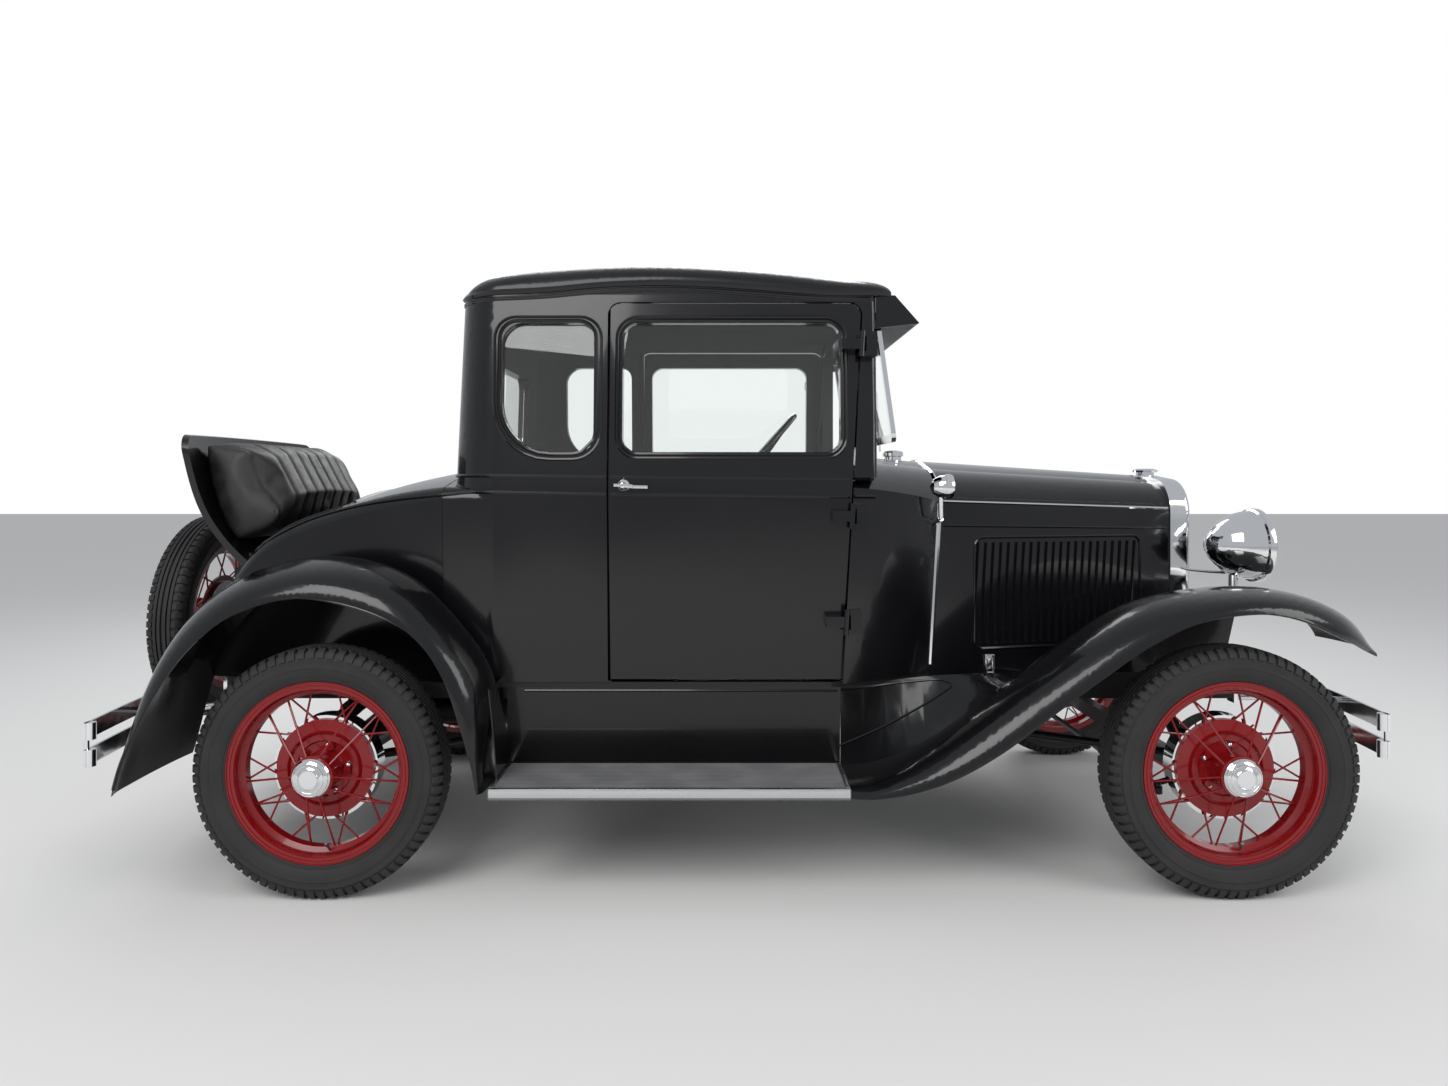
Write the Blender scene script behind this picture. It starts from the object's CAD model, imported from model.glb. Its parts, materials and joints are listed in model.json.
"""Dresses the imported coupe: paint, chrome, rubber, leather and glass, its mouldings, treads and seats.

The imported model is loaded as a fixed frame, and every piece here rides on one of its bodies. Lengths are
metres, +X forward, +Y to the car's left, +Z up.
"""
import json
import logging
import math
from dataclasses import dataclass
from enum import Enum
from typing import Iterable, Optional, Sequence

import bmesh
import bpy
from mathutils import Matrix, Vector
from mathutils.bvhtree import BVHTree


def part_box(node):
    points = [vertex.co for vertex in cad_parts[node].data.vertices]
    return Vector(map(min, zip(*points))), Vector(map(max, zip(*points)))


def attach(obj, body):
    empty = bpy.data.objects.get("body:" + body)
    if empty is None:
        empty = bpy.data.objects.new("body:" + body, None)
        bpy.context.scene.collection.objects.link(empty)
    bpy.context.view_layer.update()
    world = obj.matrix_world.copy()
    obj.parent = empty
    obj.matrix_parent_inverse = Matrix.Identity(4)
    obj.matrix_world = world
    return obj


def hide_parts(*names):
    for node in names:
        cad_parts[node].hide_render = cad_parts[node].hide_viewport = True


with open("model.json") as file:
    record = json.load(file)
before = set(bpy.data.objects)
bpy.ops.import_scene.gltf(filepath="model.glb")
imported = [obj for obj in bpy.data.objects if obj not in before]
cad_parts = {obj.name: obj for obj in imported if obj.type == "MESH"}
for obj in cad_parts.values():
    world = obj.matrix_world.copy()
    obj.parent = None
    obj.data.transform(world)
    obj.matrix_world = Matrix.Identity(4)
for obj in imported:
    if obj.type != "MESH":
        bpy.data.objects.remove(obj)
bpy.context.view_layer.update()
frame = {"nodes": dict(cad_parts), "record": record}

log = logging.getLogger("coupe")
Point = Sequence[float]


# Shader graphs written as expressions
class Sock:
    """One output socket of a material's graph, with arithmetic on values."""

    def __init__(self, graph: "Graph", socket: bpy.types.NodeSocket) -> None:
        """Keeps the graph and the socket."""
        self.graph = graph
        self.socket = socket

    def _maths(self, operation: str, a: object, b: object) -> "Sock":
        """Adds a Math node for two values."""
        return self.graph.add("ShaderNodeMath", {"operation": operation}, {0: a, 1: b})

    def __add__(self, other: object) -> "Sock":
        """Sum."""
        return self._maths("ADD", self, other)

    def __mul__(self, other: object) -> "Sock":
        """Product."""
        return self._maths("MULTIPLY", self, other)


class Graph:
    """A material's node tree with one way of adding nodes."""

    def __init__(self, name: str) -> None:
        """Starts an empty material of that name."""
        self.material = bpy.data.materials.new(name)
        self.material.use_nodes = True
        self.tree = self.material.node_tree
        self.tree.nodes.clear()

    def add(self, kind: str, settings: Optional[dict] = None, inputs: Optional[dict] = None,
            output: object = 0) -> Sock:
        """Adds a node.

        Args:
            kind: the node's type.
            settings: the node's own properties, set before its sockets.
            inputs: values or links for its input sockets, by name or number; colours without alpha.
            output: the output socket that is returned, by name or number.

        Returns:
            The chosen output.
        """
        node = self.tree.nodes.new(kind)
        for key, value in (settings or {}).items():
            setattr(node, key, value)
        for key, value in (inputs or {}).items():
            socket = node.inputs[key]
            if isinstance(value, Sock):
                self.tree.links.new(value.socket, socket)
            else:
                socket.default_value = (*value, 1.0) if socket.type == "RGBA" else value
        return Sock(self, node.outputs[output])

    def coordinates(self) -> Sock:
        """The piece's own coordinates, in metres."""
        return self.add("ShaderNodeTexCoord", output="Object")

    def noise(self, scale: float, detail: float = 3.0, vector: Optional[Sock] = None) -> Sock:
        """Noise from 0 to 1 on the piece's own coordinates."""
        where = vector or self.coordinates()
        return self.add("ShaderNodeTexNoise", inputs={"Vector": where, "Scale": scale, "Detail": detail})

    def waves(self, direction: str, scale: float, vector: Sock) -> Sock:
        """Even bands across one direction."""
        return self.add("ShaderNodeTexWave", {"bands_direction": direction},
                        {"Vector": vector, "Scale": scale})

    def ramp(self, value: Sock, low: float, high: float, a: float, b: float) -> Sock:
        """Maps a value from one range to another, held at the ends."""
        return self.add("ShaderNodeMapRange", {"clamp": True},
                        {"Value": value, "From Min": low, "From Max": high, "To Min": a, "To Max": b})

    def mix(self, factor: object, a: object, b: object) -> Sock:
        """A colour between two colours."""
        return self.add("ShaderNodeMix", {"data_type": "RGBA"}, {0: factor, 6: a, 7: b}, 2)

    def bump(self, height: Sock, strength: float, distance: float) -> Sock:
        """A bumped normal."""
        inputs = {"Height": height, "Strength": strength, "Distance": distance}
        return self.add("ShaderNodeBump", inputs=inputs, output="Normal")

    def surface(self, **inputs: object) -> bpy.types.Material:
        """Ends the graph with a Principled shader.

        Args:
            inputs: its sockets, spaces in their names written as underscores.

        Returns:
            The finished material.
        """
        named = {key.replace("_", " "): value for key, value in inputs.items()}
        shader = self.add("ShaderNodeBsdfPrincipled", inputs=named)
        end = self.tree.nodes.new("ShaderNodeOutputMaterial")
        self.tree.links.new(shader.socket, end.inputs["Surface"])
        return self.material


# Finishes
@dataclass(frozen=True)
class Paint:
    """Old gloss paint with a clear coat, slightly hazy."""

    name: str
    colour: tuple
    roughness: float = 0.16
    coat: float = 0.6

    def make(self) -> bpy.types.Material:
        """The paint's material."""
        g = Graph(self.name)
        haze = g.noise(3.0, 4.0)
        fine = g.noise(260.0, 2.0)
        dust = g.ramp(haze, 0.45, 0.75, 0.0, 0.1)
        colour = g.mix(dust, self.colour, tuple(min(1.0, c + 0.012) for c in self.colour))
        rough = g.ramp(haze, 0.35, 0.7, self.roughness, self.roughness + 0.07)
        return g.surface(Base_Color=colour, Roughness=rough, Specular_IOR_Level=0.3, Coat_Weight=self.coat,
                         Coat_Roughness=0.06, Coat_IOR=1.38, Normal=g.bump(fine, 0.02, 0.0002))


@dataclass(frozen=True)
class Metal:
    """Bright or dull metal, a little clouded."""

    name: str
    colour: tuple
    roughness: float = 0.08
    cloud: float = 0.08

    def make(self) -> bpy.types.Material:
        """The metal's material."""
        g = Graph(self.name)
        cloud = g.noise(14.0, 4.0)
        rough = g.ramp(cloud, 0.4, 0.75, self.roughness, self.roughness + self.cloud)
        return g.surface(Base_Color=self.colour, Metallic=1.0, Roughness=rough)


@dataclass(frozen=True)
class Rubber:
    """Matte rubber with a dusty bloom."""

    name: str
    colour: tuple
    dust: tuple
    roughness: float = 0.62

    def make(self) -> bpy.types.Material:
        """The rubber's material."""
        g = Graph(self.name)
        cloud = g.noise(9.0, 5.0)
        grain = g.noise(420.0, 2.0)
        colour = g.mix(g.ramp(cloud, 0.4, 0.75, 0.0, 0.55), self.colour, self.dust)
        rough = g.ramp(cloud, 0.3, 0.7, self.roughness, self.roughness + 0.12)
        return g.surface(Base_Color=colour, Roughness=rough, Normal=g.bump(grain, 0.15, 0.0004))


@dataclass(frozen=True)
class Pane:
    """Clear flat glass."""

    name: str
    tint: tuple = (0.93, 0.96, 0.95)

    def make(self) -> bpy.types.Material:
        """The glass's material, with the faintest film of dust in its roughness."""
        g = Graph(self.name)
        rough = g.ramp(g.noise(5.0, 4.0), 0.45, 0.8, 0.0, 0.03)
        return g.surface(Base_Color=self.tint, Roughness=rough, IOR=1.45, Transmission_Weight=1.0)


@dataclass(frozen=True)
class Hide:
    """Grained leather or leather cloth."""

    name: str
    colour: tuple
    roughness: float = 0.42

    def make(self) -> bpy.types.Material:
        """The leather's material, with pores and creases in its bump."""
        g = Graph(self.name)
        where = g.coordinates()
        pores = g.add("ShaderNodeTexVoronoi", {"feature": "DISTANCE_TO_EDGE"},
                      {"Vector": where, "Scale": 380.0})
        folds = g.noise(26.0, 5.0, where)
        height = g.ramp(pores, 0.0, 0.12, 0.0, 0.5) + folds * 0.8
        rough = g.ramp(folds, 0.35, 0.7, self.roughness - 0.06, self.roughness + 0.14)
        worn = tuple(c * 1.7 + 0.004 for c in self.colour)
        colour = g.mix(g.ramp(folds, 0.4, 0.75, 0.0, 0.5), self.colour, worn)
        return g.surface(Base_Color=colour, Roughness=rough, Normal=g.bump(height, 0.35, 0.0016))


@dataclass(frozen=True)
class Weave:
    """Plain woven cloth."""

    name: str
    colour: tuple

    def make(self) -> bpy.types.Material:
        """The cloth's material, a fine weave in its bump."""
        g = Graph(self.name)
        where = g.coordinates()
        across = g.waves("Y", 260.0, where)
        along = g.waves("X", 260.0, where)
        cloud = g.noise(8.0, 4.0, where)
        colour = g.mix(g.ramp(cloud, 0.35, 0.7, 0.0, 0.5), self.colour, tuple(c * 0.7 for c in self.colour))
        return g.surface(Base_Color=colour, Roughness=0.86, Normal=g.bump(across + along, 0.25, 0.0008))


@dataclass(frozen=True)
class Lens:
    """Pressed lamp glass in front of a silvered bowl, with upright flutes."""

    name: str
    colour: tuple
    metallic: float = 0.55

    def make(self) -> bpy.types.Material:
        """The lens's material, its flutes in the bump."""
        g = Graph(self.name)
        flutes = g.waves("Y", 26.0, g.coordinates())
        cloud = g.noise(30.0, 3.0)
        rough = g.ramp(cloud, 0.35, 0.7, 0.06, 0.14)
        return g.surface(Base_Color=self.colour, Metallic=self.metallic, Roughness=rough,
                         Normal=g.bump(flutes, 0.5, 0.002))


@dataclass(frozen=True)
class Cells:
    """Dark radiator tubes and fins."""

    name: str
    colour: tuple

    def make(self) -> bpy.types.Material:
        """The core's material, fins and tubes in its bump and colour."""
        g = Graph(self.name)
        where = g.coordinates()
        fins = g.waves("Z", 110.0, where)
        tubes = g.waves("Y", 26.0, where)
        deep = g.ramp(fins * tubes, 0.1, 0.7, 0.0, 1.0)
        colour = g.mix(deep, (0.004, 0.004, 0.004), self.colour)
        return g.surface(Base_Color=colour, Roughness=0.5, Metallic=0.4, Normal=g.bump(deep, 0.6, 0.002))


class Finish(Enum):
    """The car's finishes."""

    BODY = Paint("body_paint", (0.0035, 0.0035, 0.0045), 0.16)
    WING = Paint("fender_paint", (0.0035, 0.0035, 0.004), 0.18)
    ROOF = Paint("roof_paint", (0.004, 0.004, 0.005), 0.26, 0.35)
    RED = Paint("wheel_paint", (0.22, 0.002, 0.004), 0.24)
    CHASSIS = Paint("chassis_paint", (0.010, 0.010, 0.011), 0.42, 0.2)
    ENGINE = Paint("engine_paint", (0.03, 0.06, 0.04), 0.42, 0.2)
    CHROME = Metal("chrome_plate", (0.78, 0.79, 0.80), 0.05, 0.06)
    STEEL = Metal("worn_steel", (0.33, 0.32, 0.31), 0.34, 0.2)
    TRIM = Metal("dull_alloy", (0.62, 0.63, 0.63), 0.24, 0.14)
    TYRE = Rubber("tyre_rubber", (0.012, 0.012, 0.0125), (0.034, 0.032, 0.030))
    MAT = Rubber("board_mat", (0.13, 0.13, 0.135), (0.22, 0.218, 0.21), 0.72)
    GLASS = Pane("window_glass")
    LEATHER = Hide("rumble_leather", (0.016, 0.0155, 0.015), 0.36)
    CLOTH = Weave("bench_cloth", (0.12, 0.10, 0.08))
    LINING = Weave("roof_lining", (0.075, 0.070, 0.062))
    HORN = Paint("handwheel_gloss", (0.008, 0.008, 0.008), 0.2)
    LENS = Lens("lamp_lens", (0.80, 0.82, 0.83))
    RED_LENS = Lens("tail_lens", (0.45, 0.01, 0.01), 0.0)
    CORE = Cells("radiator_cells", (0.06, 0.06, 0.058))


# The record's slot that a new piece takes its finish from
SLOT_OF = {
    Finish.BODY: "black_paint", Finish.WING: "fender_black", Finish.RED: "red_paint",
    Finish.CHROME: "chrome", Finish.CHASSIS: "chassis_black", Finish.ENGINE: "engine_green",
    Finish.STEEL: "steel", Finish.TRIM: "steel", Finish.TYRE: "tyre_black", Finish.GLASS: "window",
    Finish.LEATHER: "leather", Finish.CLOTH: "cloth", Finish.LINING: "cloth", Finish.ROOF: "roof_cloth",
    Finish.MAT: "mat", Finish.HORN: "bakelite", Finish.LENS: "chrome", Finish.RED_LENS: "red_paint",
    Finish.CORE: "chassis_black",
}
FINISH_OF = {slot: finish for finish, slot in reversed(list(SLOT_OF.items()))}
NODE_FINISH = {"radiator_core": Finish.CORE}
BODY_OF = {node: body for body, nodes in frame["record"]["behaviour"]["bodies"].items() for node in nodes}
_made: dict = {}
_trees: dict = {}


def material(finish: Finish) -> bpy.types.Material:
    """The finish's material, made once."""
    if finish not in _made:
        _made[finish] = finish.value.make()
    return _made[finish]


def finish_of(node: str) -> Finish:
    """The finish of a CAD node, from the record's slot."""
    slots = {part["node"]: part["material_slot"] for part in frame["record"]["subparts"]}
    return NODE_FINISH.get(node, FINISH_OF[slots[node]])


def paint_nodes() -> None:
    """Gives every CAD node the finish of its slot."""
    for name, node in frame["nodes"].items():
        node.data.materials.clear()
        node.data.materials.append(material(finish_of(name)))


# Places on the CAD surfaces, looked for from beside the car, or from further out above or before it
NEAR = -1
BESIDE = 1.4
OUTSIDE = 2.4


def surface(node: str) -> BVHTree:
    """A search tree over a CAD node's faces."""
    if node not in _trees:
        mesh = frame["nodes"][node].data
        _trees[node] = BVHTree.FromPolygons([v.co.copy() for v in mesh.vertices],
                                            [tuple(p.vertices) for p in mesh.polygons])
    return _trees[node]


def meet(nodes: Sequence[str], start: Point, way: Point) -> Optional[Vector]:
    """Where a line from a start point first meets one of the nodes."""
    here = Vector(start)
    found = [surface(name).ray_cast(here, Vector(way))[0] for name in nodes]
    return min((spot for spot in found if spot), key=lambda spot: (spot - here).length, default=None)


def from_side(nodes: Sequence[str], outline: Iterable[tuple], side: int = NEAR) -> list:
    """Lays a line of (x, z) points on the nodes, seen from one side of the car."""
    found = [meet(nodes, (x, side * BESIDE, z), (0, -side, 0)) for x, z in outline]
    return [spot for spot in found if spot]


def from_above(nodes: Sequence[str], outline: Iterable[tuple]) -> list:
    """Lays a line of (x, y) points on the nodes, seen from above."""
    found = [meet(nodes, (x, y, OUTSIDE), (0, 0, -1)) for x, y in outline]
    return [spot for spot in found if spot]


def even(start: tuple, end: tuple, count: int) -> list:
    """Points at even steps between two places."""
    return [tuple(a + (b - a) * i / count for a, b in zip(start, end)) for i in range(count + 1)]


def flowing(points: Sequence[tuple], steps: int = 6) -> list:
    """A smooth line through the given points."""
    line = []
    for i in range(len(points) - 1):
        before = points[max(i - 1, 0)]
        a, b = points[i], points[i + 1]
        after = points[min(i + 2, len(points) - 1)]
        for k in range(steps):
            t = k / steps
            line.append(tuple(0.5 * (2 * q + (r - p) * t + (2 * p - 5 * q + 4 * r - s) * t * t
                                     + (3 * q - p - 3 * r + s) * t ** 3)
                              for p, q, r, s in zip(before, a, b, after)))
    return line + [tuple(points[-1])]


def round_frame(x0: float, x1: float, z0: float, z1: float, radii: Sequence[float], steps: int = 7) -> list:
    """A frame with rounded corners, from its lower rear corner round by the front."""
    line = []
    corners = ((x0, z0, 1, 1, 180), (x1, z0, -1, 1, 270), (x1, z1, -1, -1, 0), (x0, z1, 1, -1, 90))
    for (x, z, dx, dz, start), radius in zip(corners, radii):
        for k in range(steps + 1):
            turn = math.radians(start + 90 * k / steps)
            line.append((x + radius * (dx + math.cos(turn)), z + radius * (dz + math.sin(turn))))
    return line


class Piece:
    """One piece while it is being shaped, in the frame's metres."""

    def __init__(self, name: str, finish: Finish) -> None:
        """Starts an empty piece."""
        self.name = name
        self.finish = finish
        self.bm = bmesh.new()

    def spin(self, profile: Sequence[tuple], centre: Point, axis: Point, steps: int = 64) -> None:
        """Turns a line all the way round an axis.

        Args:
            profile: the line's points, each its radius and its distance along the axis.
            centre: a point on the axis.
            axis: the axis's direction.
            steps: the number of steps round.
        """
        way = Vector(axis).normalized()
        out = way.orthogonal().normalized()
        here = Vector(centre)
        verts = [self.bm.verts.new(here + out * r + way * h) for r, h in profile]
        edges = [self.bm.edges.new(pair) for pair in zip(verts, verts[1:])]
        bmesh.ops.spin(self.bm, geom=verts + edges, cent=here, axis=way, angle=2 * math.pi, steps=steps,
                       use_merge=True)

    def ring(self, radius: float, thick: float, centre: Point, axis: Point, steps: int = 64) -> None:
        """A round bead bent to a circle."""
        turn = [(radius + thick * math.cos(math.radians(60 * k)), thick * math.sin(math.radians(60 * k)))
                for k in range(7)]
        self.spin(turn, centre, axis, steps)

    def dome(self, centre: Point, axis: Point, radius: float, height: float, steps: int = 12) -> None:
        """A low dome on a short edge, closed at its foot."""
        turns = [math.radians(degrees) for degrees in (0, 30, 60, 90)]
        arc = [(radius * math.cos(turn), height * math.sin(turn)) for turn in turns]
        self.spin([(0, -height * 0.5), (radius, -height * 0.5)] + arc, centre, axis, steps)

    def bead(self, path: Sequence[Point], radius: float, closed: bool = False) -> None:
        """A round moulding along a path."""
        if len(path) < 2:
            return
        curve = bpy.data.curves.new("path", "CURVE")
        curve.dimensions = "3D"
        spline = curve.splines.new("POLY")
        spline.points.add(len(path) - 1)
        for point, here in zip(spline.points, path):
            point.co = (*here, 1.0)
        spline.use_cyclic_u = closed
        curve.bevel_depth = radius
        curve.bevel_resolution = 1
        curve.use_fill_caps = not closed
        holder = bpy.data.objects.new("path", curve)
        mesh = bpy.data.meshes.new_from_object(holder)
        self.bm.from_mesh(mesh)
        bpy.data.objects.remove(holder)
        bpy.data.curves.remove(curve)
        bpy.data.meshes.remove(mesh)

    def trace(self, nodes: Sequence[str], outline: Iterable[tuple], radius: float,
              closed: bool = False, side: int = NEAR) -> None:
        """A round moulding laid on CAD nodes along a line of (x, z) points, seen from one side."""
        self.bead(from_side(nodes, outline, side), radius, closed)

    def block(self, low: Point, high: Point, bevel: float) -> None:
        """A block between two corners, its edges rounded."""
        made = bmesh.ops.create_cube(self.bm, size=1.0)["verts"]
        bmesh.ops.scale(self.bm, vec=Vector(high) - Vector(low), verts=made)
        bmesh.ops.translate(self.bm, vec=(Vector(high) + Vector(low)) / 2, verts=made)
        edges = list({edge for vert in made for edge in vert.link_edges})
        bmesh.ops.bevel(self.bm, geom=edges, offset=bevel, segments=2, profile=0.5, affect="EDGES",
                        material=-1)

    def repeat_round(self, verts: Sequence, count: int, centre: Point, axis: Point) -> None:
        """Repeats a part of the piece at even steps round an axis."""
        own = set(verts)
        faces = [face for face in self.bm.faces if own.issuperset(face.verts)]
        edges = [edge for edge in self.bm.edges if own.issuperset(edge.verts)]
        bmesh.ops.spin(self.bm, geom=list(verts) + edges + faces, cent=Vector(centre), axis=Vector(axis),
                       angle=2 * math.pi * (count - 1) / count, steps=count - 1, use_duplicate=True)

    def mirror(self) -> None:
        """Adds the same on the car's other side."""
        every = self.bm.verts[:] + self.bm.edges[:] + self.bm.faces[:]
        made = bmesh.ops.duplicate(self.bm, geom=every)["geom"]
        bmesh.ops.scale(self.bm, vec=(1, -1, 1), verts=[g for g in made if isinstance(g, bmesh.types.BMVert)])
        bmesh.ops.reverse_faces(self.bm, faces=[g for g in made if isinstance(g, bmesh.types.BMFace)])

    def both(self) -> None:
        """Adds the same on the car's other side and ends the piece on the car's body."""
        self.mirror()
        self.done("car")

    def done(self, body: str, replaces: Sequence[str] = (), angle: float = 35.0) -> bpy.types.Object:
        """Ends the piece.

        Args:
            body: the body that carries it.
            replaces: the CAD nodes that it stands for.
            angle: edges sharper than this stay sharp.

        Returns:
            The piece's object.
        """
        bmesh.ops.remove_doubles(self.bm, verts=self.bm.verts[:], dist=1e-5)
        bmesh.ops.recalc_face_normals(self.bm, faces=self.bm.faces[:])
        soften(self.bm, angle)
        mesh = meshed(self.bm, self.name)
        mesh.materials.append(material(self.finish))
        return place(self.name, mesh, body, SLOT_OF[self.finish], replaces)


def soften(bm: bmesh.types.BMesh, angle: float) -> None:
    """Shades faces smooth, with sharp edges where they turn by more than the angle."""
    limit = math.radians(angle)
    for face in bm.faces:
        face.smooth = True
    for edge in bm.edges:
        edge.smooth = len(edge.link_faces) == 2 and edge.calc_face_angle(0.0) < limit


def merged(node: str) -> bmesh.types.BMesh:
    """A CAD node's shape, its doubled points merged."""
    bm = bmesh.new()
    bm.from_mesh(frame["nodes"][node].data)
    bmesh.ops.remove_doubles(bm, verts=bm.verts[:], dist=2e-5)
    return bm


def meshed(bm: bmesh.types.BMesh, name: str) -> bpy.types.Mesh:
    """A shape as a new mesh."""
    mesh = bpy.data.meshes.new(name)
    bm.to_mesh(mesh)
    bm.free()
    return mesh


def linked(name: str, data: bpy.types.ID) -> bpy.types.Object:
    """A new object in the scene."""
    obj = bpy.data.objects.new(name, data)
    bpy.context.scene.collection.objects.link(obj)
    return obj


def place(name: str, mesh: bpy.types.Mesh, body: str, slot: str, replaces: Sequence[str]) -> bpy.types.Object:
    """Puts a finished mesh in the scene on its body."""
    obj = linked(name, mesh)
    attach(obj, body)
    if replaces:
        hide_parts(*replaces)
    log.info("%s on %s, %d faces", name, body, len(mesh.polygons))
    return obj


@dataclass
class Panel:
    """A CAD node's own shape, merged and shaded smooth, with a lining on the faces that look inwards."""

    node: str
    lining: Optional[Finish] = None
    angle: float = 30.0
    cab_ends: tuple = (-0.83, 0.47)
    ceiling: float = 1.76
    back_wall: float = -0.62

    def build(self) -> None:
        """Makes the panel in place of its node."""
        bm = merged(self.node)
        soften(bm, self.angle)
        for face in bm.faces if self.lining else ():
            face.material_index = int(self.inward(face.calc_center_median(), face.normal))
        finish = finish_of(self.node)
        mesh = meshed(bm, self.node + "_panel")
        for layer in (finish, self.lining) if self.lining else (finish,):
            mesh.materials.append(material(layer))
        obj = place(self.node + "_panel", mesh, BODY_OF[self.node], SLOT_OF[finish], (self.node,))
        obj.modifiers.new("even_shading", "WEIGHTED_NORMAL").keep_sharp = True

    def inward(self, middle: Vector, normal: Vector) -> bool:
        """Whether a face of the cab looks into it."""
        rear, front = self.cab_ends
        if not rear <= middle.x <= front:
            return False
        if middle.z > self.ceiling:
            return normal.z < -0.3 or middle.to_2d().dot(normal.to_2d()) < -0.3
        beside = normal.y * math.copysign(1, middle.y) < -0.4
        behind = normal.x > 0.4 and middle.x < self.back_wall
        return beside or behind


@dataclass
class Tyre:
    """A narrow balloon tyre with ribs and chunky shoulder lugs, each a share of its pitch wide."""

    node: str
    axis: tuple = (0, 1, 0)
    tread: float = 0.3612
    base: float = 0.3545
    lugs: int = 76
    lug_share: float = 0.62

    def build(self) -> None:
        """Makes the tyre in place of its node."""
        low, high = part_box(self.node)
        centre = (Vector(low) + Vector(high)) / 2
        piece = Piece(self.node + "_rubber", Finish.TYRE)
        half = [(self.base, 0.0035), (self.tread, 0.0045), (self.tread, 0.0135), (self.base, 0.0145),
                (self.base, 0.0185), (self.tread - 0.0004, 0.0195), (self.tread - 0.0006, 0.0285),
                (self.base, 0.0295), (self.base - 0.001, 0.040), (0.349, 0.0490), (0.340, 0.0552),
                (0.3285, 0.0592), (0.3275, 0.0606), (0.3245, 0.0606), (0.3235, 0.0602), (0.309, 0.0616),
                (0.3075, 0.0629), (0.3045, 0.0629), (0.303, 0.0615), (0.291, 0.0592), (0.279, 0.0548),
                (0.2745, 0.0522), (0.2735, 0.0532), (0.2705, 0.0522), (0.2695, 0.0500), (0.2645, 0.0480),
                (0.262, 0.0425), (0.2425, 0.0425)]
        profile = [(r, -h) for r, h in reversed(half)] + half
        piece.spin(profile + [profile[0]], centre, self.axis, 96)
        for side in (1, -1):
            self.shoulder(piece, centre, side)
        piece.done(BODY_OF[self.node], (self.node,), 28.0)

    def shoulder(self, piece: Piece, centre: Vector, side: int) -> None:
        """One row of shoulder lugs."""
        way = Vector(self.axis)
        out = way.orthogonal().normalized()
        along = way.cross(out)
        lug = along * 2 * math.pi * self.tread / self.lugs * self.lug_share
        section = [(0.348, 0.031), (self.tread - 0.0006, 0.032), (self.tread - 0.002, 0.044), (0.352, 0.0535),
                   (0.341, 0.0600), (0.333, 0.0616), (0.330, 0.0560)]
        foot = centre - lug / 2
        corners = [piece.bm.verts.new(foot + out * r + way * side * h) for r, h in section]
        face = piece.bm.faces.new(corners)
        moved = bmesh.ops.extrude_face_region(piece.bm, geom=[face])["geom"]
        end = [g for g in moved if isinstance(g, bmesh.types.BMVert)]
        bmesh.ops.translate(piece.bm, vec=lug, verts=end)
        piece.repeat_round(corners + end, self.lugs, centre, self.axis)


@dataclass
class WheelTrim:
    """Rolled ridges of a rim, nuts on the hub's flange, rings on the bare cap, and a valve."""

    corner: str
    outward: tuple
    nuts: int = 5
    nut_circle: float = 0.06985
    nut: tuple = (0.0095, 0.010)
    nut_lift: float = 0.004
    ridges: tuple = ((0.2612, 0.0480, 0.0022), (0.2520, 0.0466, 0.0017), (0.2425, 0.0440, 0.0019),
                     (0.2335, 0.030, 0.0018))
    cap_rings: tuple = (0.050, 0.040, 0.026)
    cap_face: float = 0.028
    cap_bead: float = 0.0013
    valve_turn: float = 0.9
    valve: tuple = ((0.232, 0.018), (0.206, 0.040))
    stem: float = 0.0034
    collar: float = 0.0048

    def build(self) -> None:
        """Makes the trim on the wheel's body."""
        spare = self.corner == "spare"
        wheel = "spare_wheel" if spare else "wheel_" + self.corner
        nodes = [wheel] if spare else [wheel, "hub_" + self.corner]
        low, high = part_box("spare_tyre" if spare else "tyre_" + self.corner)
        centre = (Vector(low) + Vector(high)) / 2
        out = Vector(self.outward)
        across = out.orthogonal().normalized()
        ahead = centre + out * 0.3
        rim = Piece(wheel + "_ridges", Finish.RED)
        for radius, depth, thick in self.ridges:
            rim.ring(radius, thick, centre + out * depth, out, 96)
        rim.done(BODY_OF[wheel])
        bright = Piece(wheel + "_bright", Finish.CHROME)
        for k in range(self.nuts):
            way = Matrix.Rotation(2 * math.pi * k / self.nuts, 3, out) @ across
            spot = meet(nodes, ahead + way * self.nut_circle, -out)
            if spot:
                bright.dome(spot + out * self.nut_lift, out, *self.nut)
        if not spare:
            face = meet(nodes, ahead + across * self.cap_face, -out)
            for radius in self.cap_rings:
                spot = meet(nodes, ahead + across * radius, -out) or face
                bright.ring(radius, self.cap_bead, centre + out * (spot - centre).dot(out), out, 48)
        bright.done(BODY_OF[wheel])
        valve = Piece(wheel + "_valve", Finish.STEEL)
        way = Matrix.Rotation(self.valve_turn, 3, out) @ across
        foot, tip = (centre + way * radius + out * depth for radius, depth in self.valve)
        valve.bead([foot, foot.lerp(tip, 0.6), tip], self.stem)
        valve.bead([foot.lerp(tip, 0.7), foot.lerp(tip, 1.12)], self.collar)
        valve.done(BODY_OF[wheel])


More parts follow.
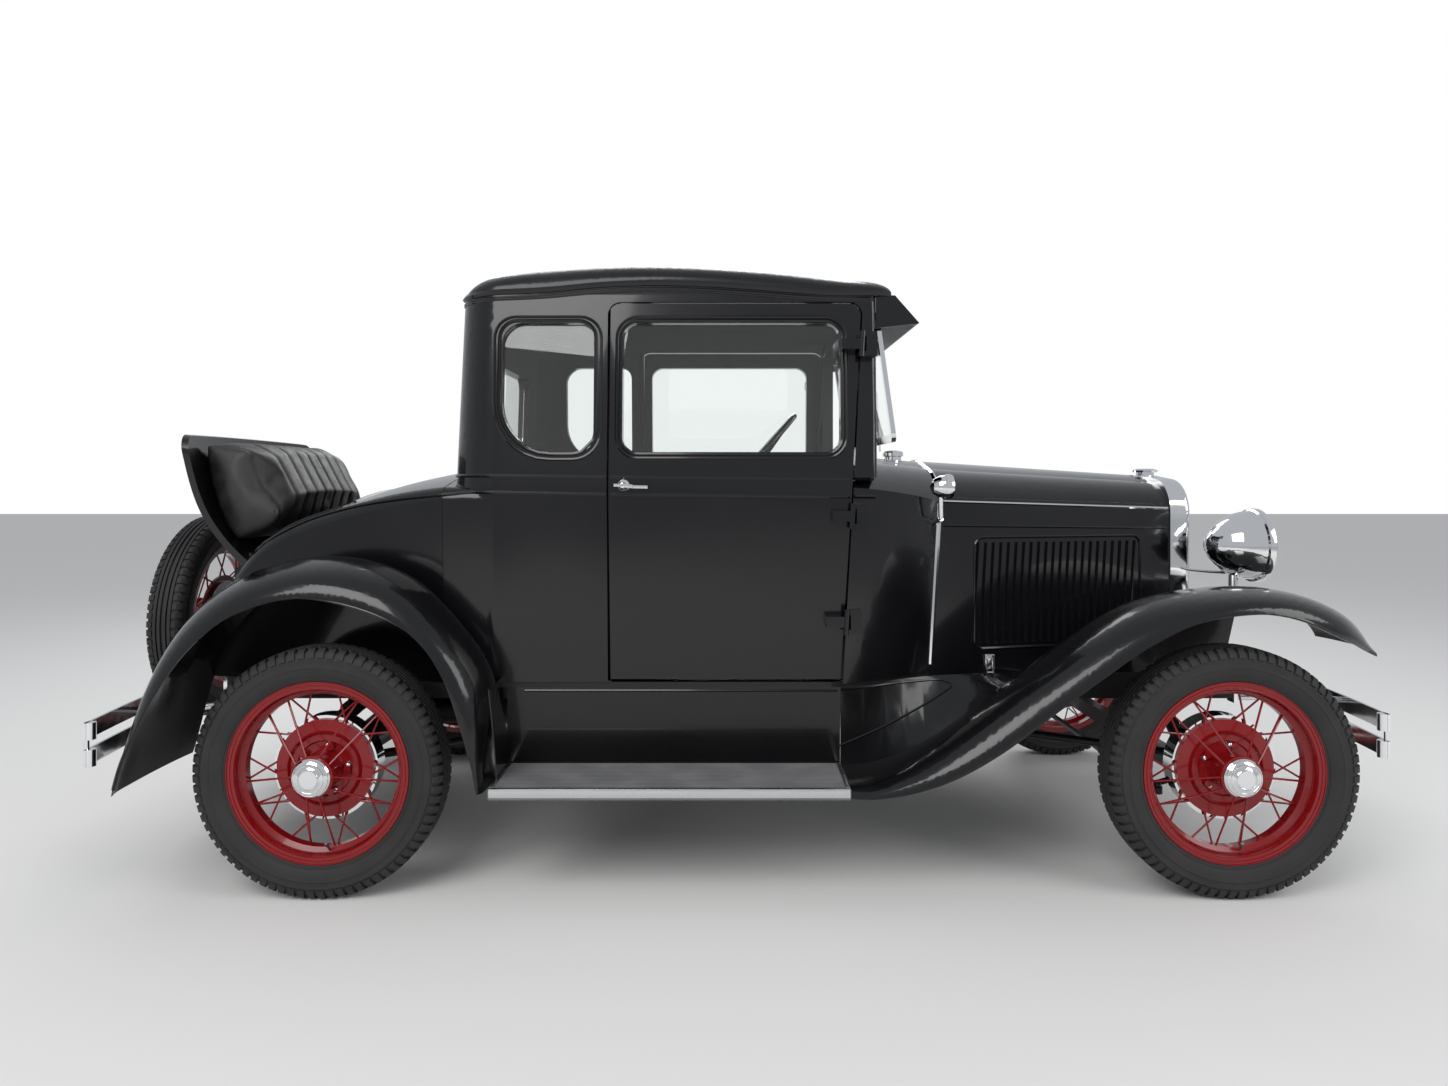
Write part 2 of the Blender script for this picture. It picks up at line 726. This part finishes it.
@dataclass
class BodyMouldings:
    """Belt, deck, window, drip and sill beads of the body."""

    cab: tuple = ("cab_shell", "cowl", "rear_body")
    bead: float = 0.0062
    belts: tuple = (((-0.688, 1.216), (-0.345, 1.212), (0.400, 1.208), (0.470, 1.207)),
                    ((-0.674, 1.166), (-0.345, 1.160), (0.400, 1.153), (0.466, 1.152)))
    corner: tuple = (-0.688, -0.476, 1.216)
    deck: tuple = ((-0.674, 1.166), (-0.755, 1.166), (-0.822, 1.160), (-0.986, 1.144), (-1.153, 1.116),
                   (-1.323, 1.066), (-1.499, 0.972), (-1.590, 0.880), (-1.632, 0.800), (-1.640, 0.760))
    window: tuple = (((-0.670, -0.379, 1.281, 1.685), (0.156, 0.072, 0.052, 0.052), 0.0060),
                     ((-0.686, -0.363, 1.265, 1.697), (0.168, 0.086, 0.064, 0.064), 0.0050))
    drip: tuple = ((-0.805, 1.768), (-0.630, 1.775), (-0.520, 1.781), (-0.368, 1.795), (-0.216, 1.801),
                   (-0.064, 1.798), (0.088, 1.789), (0.240, 1.777), (0.339, 1.771), (0.512, 1.770))
    drip_bead: float = 0.0092
    under_drip: tuple = ((0.0165, 0.0045), (0.0230, 0.0038))
    sill: tuple = ((-0.668, 0.582), (0.0, 0.582), (0.70, 0.582))
    sill_bead: float = 0.0045
    apron_loop: tuple = ((-0.668, 0.564), (0.0, 0.564), (0.62, 0.564), (0.715, 0.558), (0.735, 0.545),
                         (0.70, 0.525), (0.634, 0.493), (0.50, 0.440), (0.356, 0.392))
    apron_bead: float = 0.0040

    def build(self) -> None:
        """Makes the beads."""
        body = Piece("body_beads", Finish.BODY)
        for line in self.belts:
            body.trace(self.cab, even(line[0], line[1], 14), self.bead)
            body.trace(self.cab, even(line[2], line[3], 4), self.bead)
        body.bead(self.around_corner(), self.bead)
        body.trace(("rear_body", "cab_shell"), flowing(self.deck), self.bead)
        for sides, radii, thick in self.window:
            body.trace(("cab_shell",), round_frame(*sides, radii), thick, True)
        body.both()
        roof = Piece("drip_rails", Finish.BODY)
        roof.trace(("roof_panel",), flowing(self.drip), self.drip_bead)
        for drop, thick in self.under_drip:
            roof.trace(("roof_panel", "cab_shell"), [(x, z - drop) for x, z in flowing(self.drip)], thick)
        roof.both()
        apron = Piece("apron_beads", Finish.WING)
        nodes = ("splash_aprons", "front_fenders", "frame_rails")
        apron.trace(nodes, flowing(self.sill, 12), self.sill_bead)
        apron.trace(nodes, flowing(self.apron_loop), self.apron_bead)
        apron.both()

    def around_corner(self) -> list:
        """The belt's line round the cab's back corner, met from inside the cab."""
        line = []
        for degrees in range(0, 84, 7):
            turn = math.radians(degrees)
            way = Vector((math.sin(turn), math.cos(turn), 0))
            line.append(meet(["cab_shell"], Vector(self.corner) - way * 0.5, way))
        return [spot for spot in line if spot]


@dataclass
class DoorTrim:
    """Belt beads, window mouldings and lever handle of a door."""

    side: int
    belts: tuple = (((-0.332, 1.212), (0.386, 1.208)), ((-0.332, 1.160), (0.386, 1.153)))
    bead: float = 0.0062
    opening: tuple = (-0.298, 0.359, 1.287, 1.679)
    corner: float = 0.046
    frames: tuple = ((0.006, 0.0060), (0.0180, 0.0048))
    rose: tuple = (-0.293, 1.187)
    rose_section: tuple = ((0, -0.003), (0.0175, -0.003), (0.0175, 0.003), (0.013, 0.007), (0.0085, 0.012),
                           (0.0080, 0.034), (0, 0.036))
    stand_off: float = 0.030
    lever: tuple = (((0, 0, 0), (0.030, 0, -0.003), 0.0062),
                    ((0.030, 0, -0.004), (0.074, -0.004, -0.005), 0.0052),
                    ((0, 0, 0), (-0.026, 0, 0.001), 0.0048))

    def build(self) -> None:
        """Makes the beads and the handle on the door's body."""
        name = "left" if self.side > 0 else "right"
        node = ["door_" + name]
        piece = Piece("door_beads_" + name, Finish.BODY)
        for start, end in self.belts:
            piece.trace(node, even(start, end, 20), self.bead, side=self.side)
        x0, x1, z0, z1 = self.opening
        for grow, thick in self.frames:
            outline = round_frame(x0 - grow, x1 + grow, z0 - grow, z1 + grow, [self.corner + grow] * 4)
            piece.trace(node, outline, thick, True, self.side)
        piece.done(name + "_door")
        spot = from_side(node, [self.rose], self.side)[0]
        out = Vector((0, self.side, 0))
        grip = Piece("door_handle_" + name, Finish.CHROME)
        grip.spin(self.rose_section, spot, out, 32)
        for start, end, thick in self.lever:
            ends = [spot + Vector((x, 0, z)) + out * (self.stand_off + y) for x, y, z in (start, end)]
            grip.bead(ends, thick)
        grip.done(name + "_door")


@dataclass
class DoorSeals:
    """Rubber strips on the cab, just inside the gaps at the doors' edges.

    Each gap has the place beside it where the wall is met, its own place, and its lean.
    """

    gaps: tuple = ((-0.352, -0.3395, 0.0), (0.408, 0.3965, 0.0559))
    belt: float = 1.18
    low: float = 0.60
    high: float = 1.74
    radius: float = 0.009
    clear: float = 0.003

    def build(self) -> None:
        """Makes the strips."""
        seals = Piece("door_seals", Finish.TYRE)
        for side in (1, -1):
            for beside, centre, lean in self.gaps:
                path = []
                for z, in even((self.low,), (self.high,), 24):
                    shift = (z - self.belt) * lean
                    wall = meet(["cab_shell", "cowl"], (beside + shift, 0.30 * side, z), (0, side, 0))
                    if wall:
                        path.append((centre + shift, wall.y - side * (self.radius + self.clear), z))
                seals.bead(path, self.radius)
        seals.done("car")


@dataclass
class FenderEdges:
    """Wired lips of the fenders, from their axles, and a rolled plate in each rear fender's foot."""

    front_axle: float = 1.472
    rear_axle: float = -1.157
    front: tuple = ((-1.109, 0.316), (-0.975, 0.322), (-0.834, 0.362), (-0.693, 0.439), (-0.554, 0.542),
                    (-0.412, 0.647), (-0.273, 0.742), (-0.133, 0.806), (0.030, 0.829), (0.140, 0.812),
                    (0.262, 0.762), (0.386, 0.711))
    rear: tuple = ((0.455, 0.430), (0.435, 0.503), (0.374, 0.669), (0.262, 0.794), (0.011, 0.872),
                   (-0.184, 0.836), (-0.323, 0.738), (-0.434, 0.585), (-0.512, 0.420), (-0.538, 0.335))
    lip: float = -0.8305
    inmost: float = -0.66
    wire: float = 0.0050
    foot: tuple = (-0.645, -0.668, 0.341, 0.600)
    foot_width: tuple = (-0.583, -0.745)
    foot_steps: int = 8
    foot_thick: float = 0.004

    def build(self) -> None:
        """Makes the beads along both lips, and the plates."""
        piece = Piece("fender_edges", Finish.WING)
        for node, axle, lip in (("front_fenders", self.front_axle, self.front),
                                ("rear_fenders", self.rear_axle, self.rear)):
            line = []
            for x, z in flowing(lip):
                found = meet([node], (x + axle, -1.2, z + 0.010), (0, 1, 0))
                y = found.y + 0.001 if found and found.y < self.inmost else self.lip
                line.append((x + axle, max(y, self.lip), z + 0.003))
            piece.bead(line, self.wire)
        piece.both()
        self.feet()

    def feet(self) -> None:
        """Closes the gap between the rear fender's foot, the board and the apron."""
        foot = Piece("fender_feet", Finish.WING)
        x0, x1, z0, z1 = self.foot
        inner, outer = self.foot_width
        parts = [k / self.foot_steps for k in range(self.foot_steps + 1)]
        line = [(x0 + (x1 - x0) * t, z0 + (z1 - z0) * t ** 0.8) for t in parts]
        rows = [[foot.bm.verts.new((x - back, y, z)) for x, z in line]
                for y, back in ((inner, 0), (outer, 0), (outer, self.foot_thick), (inner, self.foot_thick))]
        for k, a in enumerate(rows):
            b = rows[(k + 1) % 4]
            for i in range(self.foot_steps):
                foot.bm.faces.new((a[i], b[i], b[i + 1], a[i + 1]))
        for i in (0, self.foot_steps):
            foot.bm.faces.new([row[i] for row in rows])
        foot.both()


@dataclass
class Bonnet:
    """Hinges, raised band, louvre frame and latches of the bonnet, and the cowl's bright strip and cap."""

    sides: tuple = ("hood_sides", "hood_top")
    around: tuple = ("cowl", "hood_top", "hood_sides")
    lean: float = 0.0559
    belt: float = 1.18
    hinge: tuple = ((0.712, 1.134), (1.512, 1.107))
    hinge_edge: tuple = ((0.712, 1.150), (1.512, 1.123))
    band: tuple = ((0.716, 1.056), (1.508, 1.040))
    louvres: tuple = (0.822, 1.410, 0.656, 1.016)
    crest: tuple = ((0.716, 0.012), (1.512, 0.012))
    strip_x: float = 0.7035
    strip_z: tuple = (0.582, 1.125)
    strip_y: float = -0.415
    strip_bead: float = 0.0085
    rods: tuple = (0.0050, 0.0046)
    beads: tuple = (0.0042, 0.0046, 0.0030)
    latches: tuple = ((0.873, 0.612), (1.372, 0.612))
    plate: tuple = ((-0.016, -0.010, -0.024), (0.016, 0.004, 0.024))
    bail: tuple = ((-0.010, -0.008, -0.034), (-0.010, -0.016, 0.020), (0.010, -0.016, 0.020),
                   (0.010, -0.008, -0.034))
    cap: tuple = ((0, -0.006), (0.030, -0.006), (0.030, 0.012), (0.037, 0.014), (0.037, 0.026),
                  (0.033, 0.031), (0.012, 0.035), (0, 0.035))
    cap_place: tuple = (0.627, 0.0)

    def build(self) -> None:
        """Makes the bonnet's fittings."""
        piece = Piece("bonnet_beads", Finish.BODY)
        band, frame_bead, edge = self.beads
        piece.trace(self.sides, even(*self.band, 24), band)
        piece.trace(self.sides, round_frame(*self.louvres, [0.03] * 4), frame_bead, True)
        piece.trace(self.sides, even(*self.hinge_edge, 24), edge)
        piece.both()
        rods = Piece("bonnet_hinges", Finish.CHROME)
        rods.trace(self.sides, even(*self.hinge, 24), self.rods[0])
        rods.mirror()
        rods.bead(from_above(["hood_top"], even(*self.crest, 24)), self.rods[1])
        rods.done("car")
        strip = Piece("cowl_strip", Finish.CHROME)
        low, high = self.strip_z
        upright = [(self.strip_x + (z - self.belt) * self.lean, z) for z, in even((low,), (high,), 18)]
        above = even((self.strip_x, self.strip_y), (self.strip_x, 0.0), 18)
        strip.bead(from_side(self.around, upright) + from_above(self.around, above), self.strip_bead)
        strip.both()
        latch = Piece("bonnet_latches", Finish.CHROME)
        for spot in from_side(["hood_sides"], self.latches):
            latch.block(*(spot + Vector(corner) for corner in self.plate), 0.003)
            latch.bead([spot + Vector(corner) for corner in self.bail], 0.0035, True)
        latch.both()
        cap = Piece("fuel_cap", Finish.CHROME)
        cap.spin(self.cap, from_above(["cowl"], [self.cap_place])[0], (0, 0, 1), 40)
        cap.done("car")


@dataclass
class Lamps:
    """Rims and fluted lenses of the lamps, and the headlamps' conduits."""

    lamps: tuple = (("headlamp", (1.744, -0.372, 0.990), 0.118), ("cowl_lamp", (0.713, -0.499, 1.182), 0.038))
    tail: tuple = (0.0095, -0.470, 0.640)
    tail_section: tuple = ((0, 0.0), (0.030, 0.0), (0.029, 0.004), (0.016, 0.0085), (0, 0.0095))
    route: tuple = ((1.560, -0.262, 0.905), (1.590, -0.285, 0.900), (1.640, -0.330, 0.898),
                    (1.668, -0.362, 0.902), (1.676, -0.372, 0.925))
    conduit: float = 0.0048

    def build(self) -> None:
        """Makes the lamps' dress."""
        for name, centre, r in self.lamps:
            rim = Piece(name + "_rims", Finish.CHROME)
            rim.spin([(r * 0.90, 0.006), (r * 0.92, 0.0105), (r * 0.96, 0.011), (r + 0.0015, 0.004),
                      (r + 0.0022, -0.006), (r + 0.001, -0.014), (r * 0.97, -0.012), (r * 0.90, 0.006)],
                     centre, (1, 0, 0))
            rim.both()
            lens = Piece(name + "_lenses", Finish.LENS)
            face = [(0, 0.0), (r * 0.92, 0.0), (r * 0.92, 0.008), (r * 0.6, 0.008 + r * 0.05),
                    (r * 0.3, 0.008 + r * 0.07), (0, 0.008 + r * 0.075)]
            lens.spin(face, centre, (1, 0, 0))
            lens.both()
        low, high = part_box("tail_lamps")
        x, y, z = self.tail
        tail = Piece("tail_lenses", Finish.RED_LENS)
        tail.spin(self.tail_section, (low[0] + x, y, z), (-1, 0, 0), 40)
        tail.both()
        pipe = Piece("headlamp_conduits", Finish.STEEL)
        pipe.bead(flowing(self.route, 5), self.conduit)
        pipe.both()


@dataclass
class Bumpers:
    """Rolled eyes and clamp bolts of the bumpers.

    Each row of bars has its node, their lower edges, its way out, and where its eyes and its bolt are.
    """

    rows: tuple = (("front_bumper", (0.417, 0.493), 1, (0.783,), 0.330),
                   ("rear_bumpers", (0.392, 0.468), -1, (0.783, 0.346), 0.400))
    eye: float = 0.0155
    bar: float = 0.048
    bolt: tuple = (0.013, 0.007)

    def build(self) -> None:
        """Makes the bumpers' fittings."""
        piece = Piece("bumper_eyes", Finish.CHROME)
        roll = ((0, 0), (self.eye, 0), (self.eye, self.bar), (0, self.bar))
        for node, edges, ahead, eyes, bolt in self.rows:
            for low in edges:
                faces = [meet([node], (ahead * OUTSIDE, -y, low + self.bar / 2), (-ahead, 0, 0))
                         for y in (*eyes, bolt)]
                for spot in faces[:-1]:
                    x = spot.x - ahead * (self.eye - 0.001)
                    piece.spin(roll, (x, spot.y, low), (0, 0, 1), 24)
                piece.dome(faces[-1], (ahead, 0, 0), *self.bolt, 20)
        piece.both()


@dataclass
class Boards:
    """Ribbed mats and alloy edges of the running boards."""

    rear: float = -0.648
    front: float = 0.360
    inner: float = 0.586
    outer: float = 0.820
    top: float = 0.340
    pitch: float = 0.0125
    rib: tuple = (0.0062, 0.0022, 0.0012)
    margin: tuple = (0.012, 0.008)
    sunk: float = 0.001
    raised: float = 0.003
    band: float = 0.010
    lip: tuple = (-0.8358, -0.822, 0.0225)

    def build(self) -> None:
        """Makes both boards' mats and edges."""
        low, high = self.top - self.sunk, self.top + self.raised
        mat = Piece("board_ribs", Finish.MAT)
        wide, tall, bevel = self.rib
        end, side = self.margin
        for k in range(int((self.outer - self.inner - end) / self.pitch)):
            y = -self.inner - side - k * self.pitch
            mat.block((self.rear + end, y - wide, low), (self.front - end, y, self.top + tall), bevel)
        mat.both()
        edge = Piece("board_edges", Finish.TRIM)
        outside, inside, drop = self.lip
        edge.block((self.rear, outside, self.top - drop), (self.front, inside, high), 0.0015)
        for back in (self.rear, self.front - self.band):
            edge.block((back, -self.outer, low), (back + self.band, -self.inner, high), 0.001)
        edge.both()


# Frames of the pads' simulation, and how edge-on to the sitter a pad's face may be and still be sewn
STEPS = 20
EDGE_ON = 0.25


@dataclass
class Pad:
    """A stuffed seat pad: its solid, a little smaller, swollen by simulated air, then sewn in channels."""

    node: str
    finish: Finish
    pitch: float
    depth: float
    voxel: float = 0.007
    cap: float = 0.020
    smaller: float = 0.012
    fill: float = 0.7
    facing: tuple = (0, 0, 1)
    crown: float = 0.0
    rounding: int = 6
    easing: int = 8

    def build(self) -> None:
        """Makes the pad in place of its solid."""
        low, high = (Vector(c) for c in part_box(self.node))
        middle = (low + high) / 2
        obj = self.cover(middle, high - low)
        start = [v.co.copy() for v in obj.data.vertices]
        ends = self.swell(obj, start)
        for vert, begin, end in zip(obj.data.vertices, start, ends):
            move = end - begin
            if move.length > self.cap:
                move *= self.cap / move.length
            here = begin + move
            vert.co = Vector([min(max(here[k], low[k]), high[k]) for k in range(3)])
        final = obj.data
        self.ease(final)
        self.sew(final, middle.y, (high.y - low.y) / 2)
        bpy.data.objects.remove(obj)
        for face in final.polygons:
            face.use_smooth = True
        final.materials.clear()
        final.materials.append(material(self.finish))
        piece = place(self.node + "_pad", final, BODY_OF[self.node], SLOT_OF[self.finish], (self.node,))

    def cover(self, middle: Vector, size: Vector) -> bpy.types.Object:
        """The slightly smaller copy of the solid, in even cells with rounded edges."""
        bm = merged(self.node)
        bmesh.ops.translate(bm, vec=-middle, verts=bm.verts[:])
        bmesh.ops.scale(bm, vec=Vector([1 - 2 * self.smaller / size[k] for k in range(3)]), verts=bm.verts[:])
        bmesh.ops.translate(bm, vec=middle, verts=bm.verts[:])
        name = self.node + "_start"
        obj = linked(name, meshed(bm, name))
        voxels = obj.modifiers.new("voxels", "REMESH")
        voxels.mode = "VOXEL"
        voxels.voxel_size = self.voxel
        rounded = obj.modifiers.new("rounded", "SMOOTH")
        rounded.factor = 0.5
        rounded.iterations = self.rounding
        obj.data = self.baked(obj)
        obj.modifiers.clear()
        return obj

    @staticmethod
    def baked(obj: bpy.types.Object) -> bpy.types.Mesh:
        """The object's mesh with its modifiers applied."""
        return bpy.data.meshes.new_from_object(obj.evaluated_get(bpy.context.evaluated_depsgraph_get()))

    def swell(self, obj: bpy.types.Object, start: Sequence[Vector]) -> list:
        """Blows the pad up with simulated cloth.

        Args:
            obj: the pad's object.
            start: its points at the start.

        Returns:
            The points after the simulation.
        """
        cloth = obj.modifiers.new("cover", "CLOTH")
        cloth.settings.quality = 4
        cloth.settings.use_pressure = True
        cloth.settings.uniform_pressure_force = 4.0
        cloth.settings.effector_weights.gravity = 0.0
        cloth.collision_settings.use_collision = False
        for step in range(1, STEPS + 1):
            bpy.context.scene.frame_set(step)
        swollen = self.baked(obj)
        ends = [v.co.copy() for v in swollen.vertices]
        bpy.data.meshes.remove(swollen)
        bpy.context.scene.frame_set(1)
        return ends if len(ends) == len(start) else list(start)

    def ease(self, mesh: bpy.types.Mesh) -> None:
        """Smooths the cover's small creases."""
        bm = bmesh.new()
        bm.from_mesh(mesh)
        for _ in range(self.easing):
            bmesh.ops.smooth_vert(bm, verts=bm.verts[:], factor=0.5, use_axis_x=True, use_axis_y=True,
                                  use_axis_z=True)
        bm.to_mesh(mesh)
        bm.free()
        mesh.update()

    def sew(self, mesh: bpy.types.Mesh, middle: float, half: float) -> None:
        """Crowns the face that the sitter leans on and presses sewn channels into it."""
        way = Vector(self.facing).normalized()
        normals = [v.normal.copy() for v in mesh.vertices]
        for vert, normal in zip(mesh.vertices, normals):
            facing = max(0.0, normal.dot(way) - EDGE_ON) / (1 - EDGE_ON)
            across = vert.co.y - middle
            along = across / self.pitch
            seam = abs(along - math.floor(along) - 0.5) * 2
            press = (1 - seam) ** 5
            fullness = max(0.0, 1 - (across / half) ** 4)
            vert.co += way * (self.crown * fullness * facing) - normal * (press * facing * self.depth)


@dataclass
class RumbleTrim:
    """Beads round the deck's opening and piping along the rumble seat's back."""

    sill: tuple = ((-1.166, -0.455), (-1.166, 0.455))
    side: tuple = ((-1.20, 0.474), (-1.560, 0.404))
    piping: tuple = ((-1.571, 1.338), (-1.530, 1.285), (-1.499, 1.231), (-1.470, 1.160), (-1.451, 1.090))
    beads: tuple = (0.0055, 0.0045, 0.0050)

    def build(self) -> None:
        """Makes the beads round the opening and the pad's piping."""
        across, along, round_pad = self.beads
        edge = Piece("opening_bead", Finish.BODY)
        edge.bead(from_above(["rear_body"], even(*self.sill, 16)), across)
        for side in (-1, 1):
            start, end = ((x, y * side) for x, y in self.side)
            edge.bead(from_above(["rear_body"], even(start, end, 14)), along)
        edge.done("car")
        piping = Piece("pad_piping", Finish.LEATHER)
        for side in (1, -1):
            piping.trace(["rumble_back"], flowing(self.piping), round_pad, side=side)
        piping.done(BODY_OF["rumble_back"])


@dataclass
class Windscreen:
    """The wiper, and bright rings round the dash's dials."""

    wiper: tuple = ((1.2, -0.20, 1.60), (1.2, -0.26, 1.40))
    stand_off: float = 0.010
    arm: float = 0.0028
    blade: tuple = ((0.007, 0.02, 0.10), (0.007, -0.02, -0.10))
    blade_bead: float = 0.0035
    dials: tuple = (-0.11, 0.0, 0.11)
    ring: tuple = ((0.034, -0.002), (0.040, -0.002), (0.040, 0.005), (0.034, 0.006), (0.034, -0.002))

    def build(self) -> None:
        """Makes the wiper and the dials."""
        wiper = Piece("wiper", Finish.CHROME)
        top, foot = (meet(["body_glass", "windscreen_frame"], end, (-1, 0, 0)) for end in self.wiper)
        out = Vector((self.stand_off, 0, 0))
        wiper.bead([top + out, top.lerp(foot, 0.5) + out * 1.6, foot + out], self.arm)
        wiper.bead([foot + Vector(end) for end in self.blade], self.blade_bead)
        wiper.done("car")
        dials = Piece("dash_dials", Finish.CHROME)
        low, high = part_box("dash_panel")
        for y in self.dials:
            spot = meet(["dash_panel"], (-0.2, y, (low[2] + high[2]) / 2), (1, 0, 0))
            dials.spin(self.ring, spot, (-1, 0, 0), 32)
        dials.done("car")


@dataclass
class Stage:
    """Pale floor, white surround, soft lamps and the camera of the photograph."""

    image_width: float = 1448.0
    horizon_above_middle: float = 63.0
    focal_pixels: float = 944.0
    sensor: float = 36.0
    eye: tuple = (0.008, -3.461, 1.203)
    lamps: tuple = (("key", (-2.2, -5.0, 4.6), 3.6, 210.0), ("fill", (4.6, -3.2, 3.0), 2.6, 80.0),
                    ("back", (-0.5, 4.5, 4.2), 3.6, 120.0))
    sky: tuple = (0.92, 0.95, 1.0, 1.0)
    sky_strength: float = 0.55
    floor_colour: tuple = (0.80, 0.79, 0.77)

    def build(self) -> None:
        """Makes the floor, the world, the lamps and the camera."""
        scene = bpy.context.scene
        scene.view_settings.view_transform = "Standard"
        self.floor()
        self.world(scene)
        for lamp in self.lamps:
            self.lamp(*lamp)
        data = bpy.data.cameras.new("camera")
        camera = linked("camera", data)
        data.sensor_width = self.sensor
        data.sensor_fit = "HORIZONTAL"
        data.lens = self.sensor * self.focal_pixels / self.image_width
        data.shift_y = -self.horizon_above_middle / self.image_width
        camera.location = self.eye
        camera.rotation_euler = (math.pi / 2, 0, 0)
        scene.camera = camera

    def floor(self) -> None:
        """A wide pale floor at ground level."""
        bm = bmesh.new()
        bmesh.ops.create_grid(bm, x_segments=1, y_segments=1, size=30.0)
        mesh = meshed(bm, "floor")
        g = Graph("pale_floor")
        mesh.materials.append(g.surface(Base_Color=self.floor_colour, Roughness=0.9))
        floor = linked("floor", mesh)
        floor.location.z = -0.001

    def world(self, scene: bpy.types.Scene) -> None:
        """Soft grey light, white where the camera sees it, also through glass."""
        world = bpy.data.worlds.new("surround")
        scene.world = world
        world.use_nodes = True
        tree = world.node_tree
        tree.nodes.clear()
        path = tree.nodes.new("ShaderNodeLightPath")
        seen = tree.nodes.new("ShaderNodeMath")
        seen.operation = "MAXIMUM"
        tree.links.new(path.outputs["Is Camera Ray"], seen.inputs[0])
        tree.links.new(path.outputs["Is Transmission Ray"], seen.inputs[1])
        mix = tree.nodes.new("ShaderNodeMixShader")
        tree.links.new(seen.outputs[0], mix.inputs[0])
        for k, colour, strength in ((1, self.sky, self.sky_strength), (2, (1, 1, 1, 1), 1.0)):
            light = tree.nodes.new("ShaderNodeBackground")
            light.inputs["Color"].default_value = colour
            light.inputs["Strength"].default_value = strength
            tree.links.new(light.outputs[0], mix.inputs[k])
        end = tree.nodes.new("ShaderNodeOutputWorld")
        tree.links.new(mix.outputs[0], end.inputs["Surface"])

    def lamp(self, name: str, place: Point, size: float, power: float) -> None:
        """A square soft lamp that faces the car's middle."""
        data = bpy.data.lights.new(name, "AREA")
        data.size = size
        data.energy = power
        lamp = linked(name, data)
        lamp.location = place
        aim = Vector((0, 0, 0.8)) - Vector(place)
        lamp.rotation_euler = aim.to_track_quat("-Z", "Y").to_euler()


# The wheels' places, the panels that keep their CAD shape, shaded smooth, and those that are lined inside
CORNERS = ("front_left", "front_right", "rear_left", "rear_right")
SMOOTH_NODES = ("rear_body", "cowl", "hood_top", "hood_sides", "front_fenders", "rear_fenders",
                "splash_aprons", "radiator_shell", "headlamps", "cowl_lamps", "tail_lamps", "front_bumper",
                "rear_bumpers", "rumble_lid", "sun_visor", "windscreen_frame", "spare_wheel",
                "spare_carrier", "steering_wheel", *("wheel_" + corner for corner in CORNERS),
                *("hub_" + corner for corner in CORNERS))
LINED_NODES = ("cab_shell", "roof_panel", "door_left", "door_right")


def main() -> None:
    """Builds the car's dress in order and reports each piece."""
    logging.basicConfig(level=logging.INFO)
    paint_nodes()
    for node in SMOOTH_NODES:
        Panel(node).build()
    for node in LINED_NODES:
        Panel(node, Finish.LINING).build()
    for corner in CORNERS:
        Tyre("tyre_" + corner).build()
    Tyre("spare_tyre", (1, 0, 0)).build()
    for corner in CORNERS:
        WheelTrim(corner, (0, 1 if corner.endswith("left") else -1, 0)).build()
    WheelTrim("spare", (-1, 0, 0)).build()
    BodyMouldings().build()
    for side in (1, -1):
        DoorTrim(side).build()
    for group in (DoorSeals, FenderEdges, Bonnet, Lamps, Bumpers, Boards, RumbleTrim, Windscreen):
        group().build()
    Pad("rumble_back", Finish.LEATHER, 0.076, 0.007, facing=(1, 0, 0.35), crown=0.034, rounding=30).build()
    Pad("rumble_cushion", Finish.LEATHER, 0.088, 0.007, voxel=0.009).build()
    Pad("seat_cushion", Finish.CLOTH, 0.11, 0.008, voxel=0.011).build()
    Pad("seat_back", Finish.CLOTH, 0.11, 0.008, voxel=0.011, facing=(1, 0, 0.1)).build()
    Stage().build()


if __name__ == "__main__":
    main()
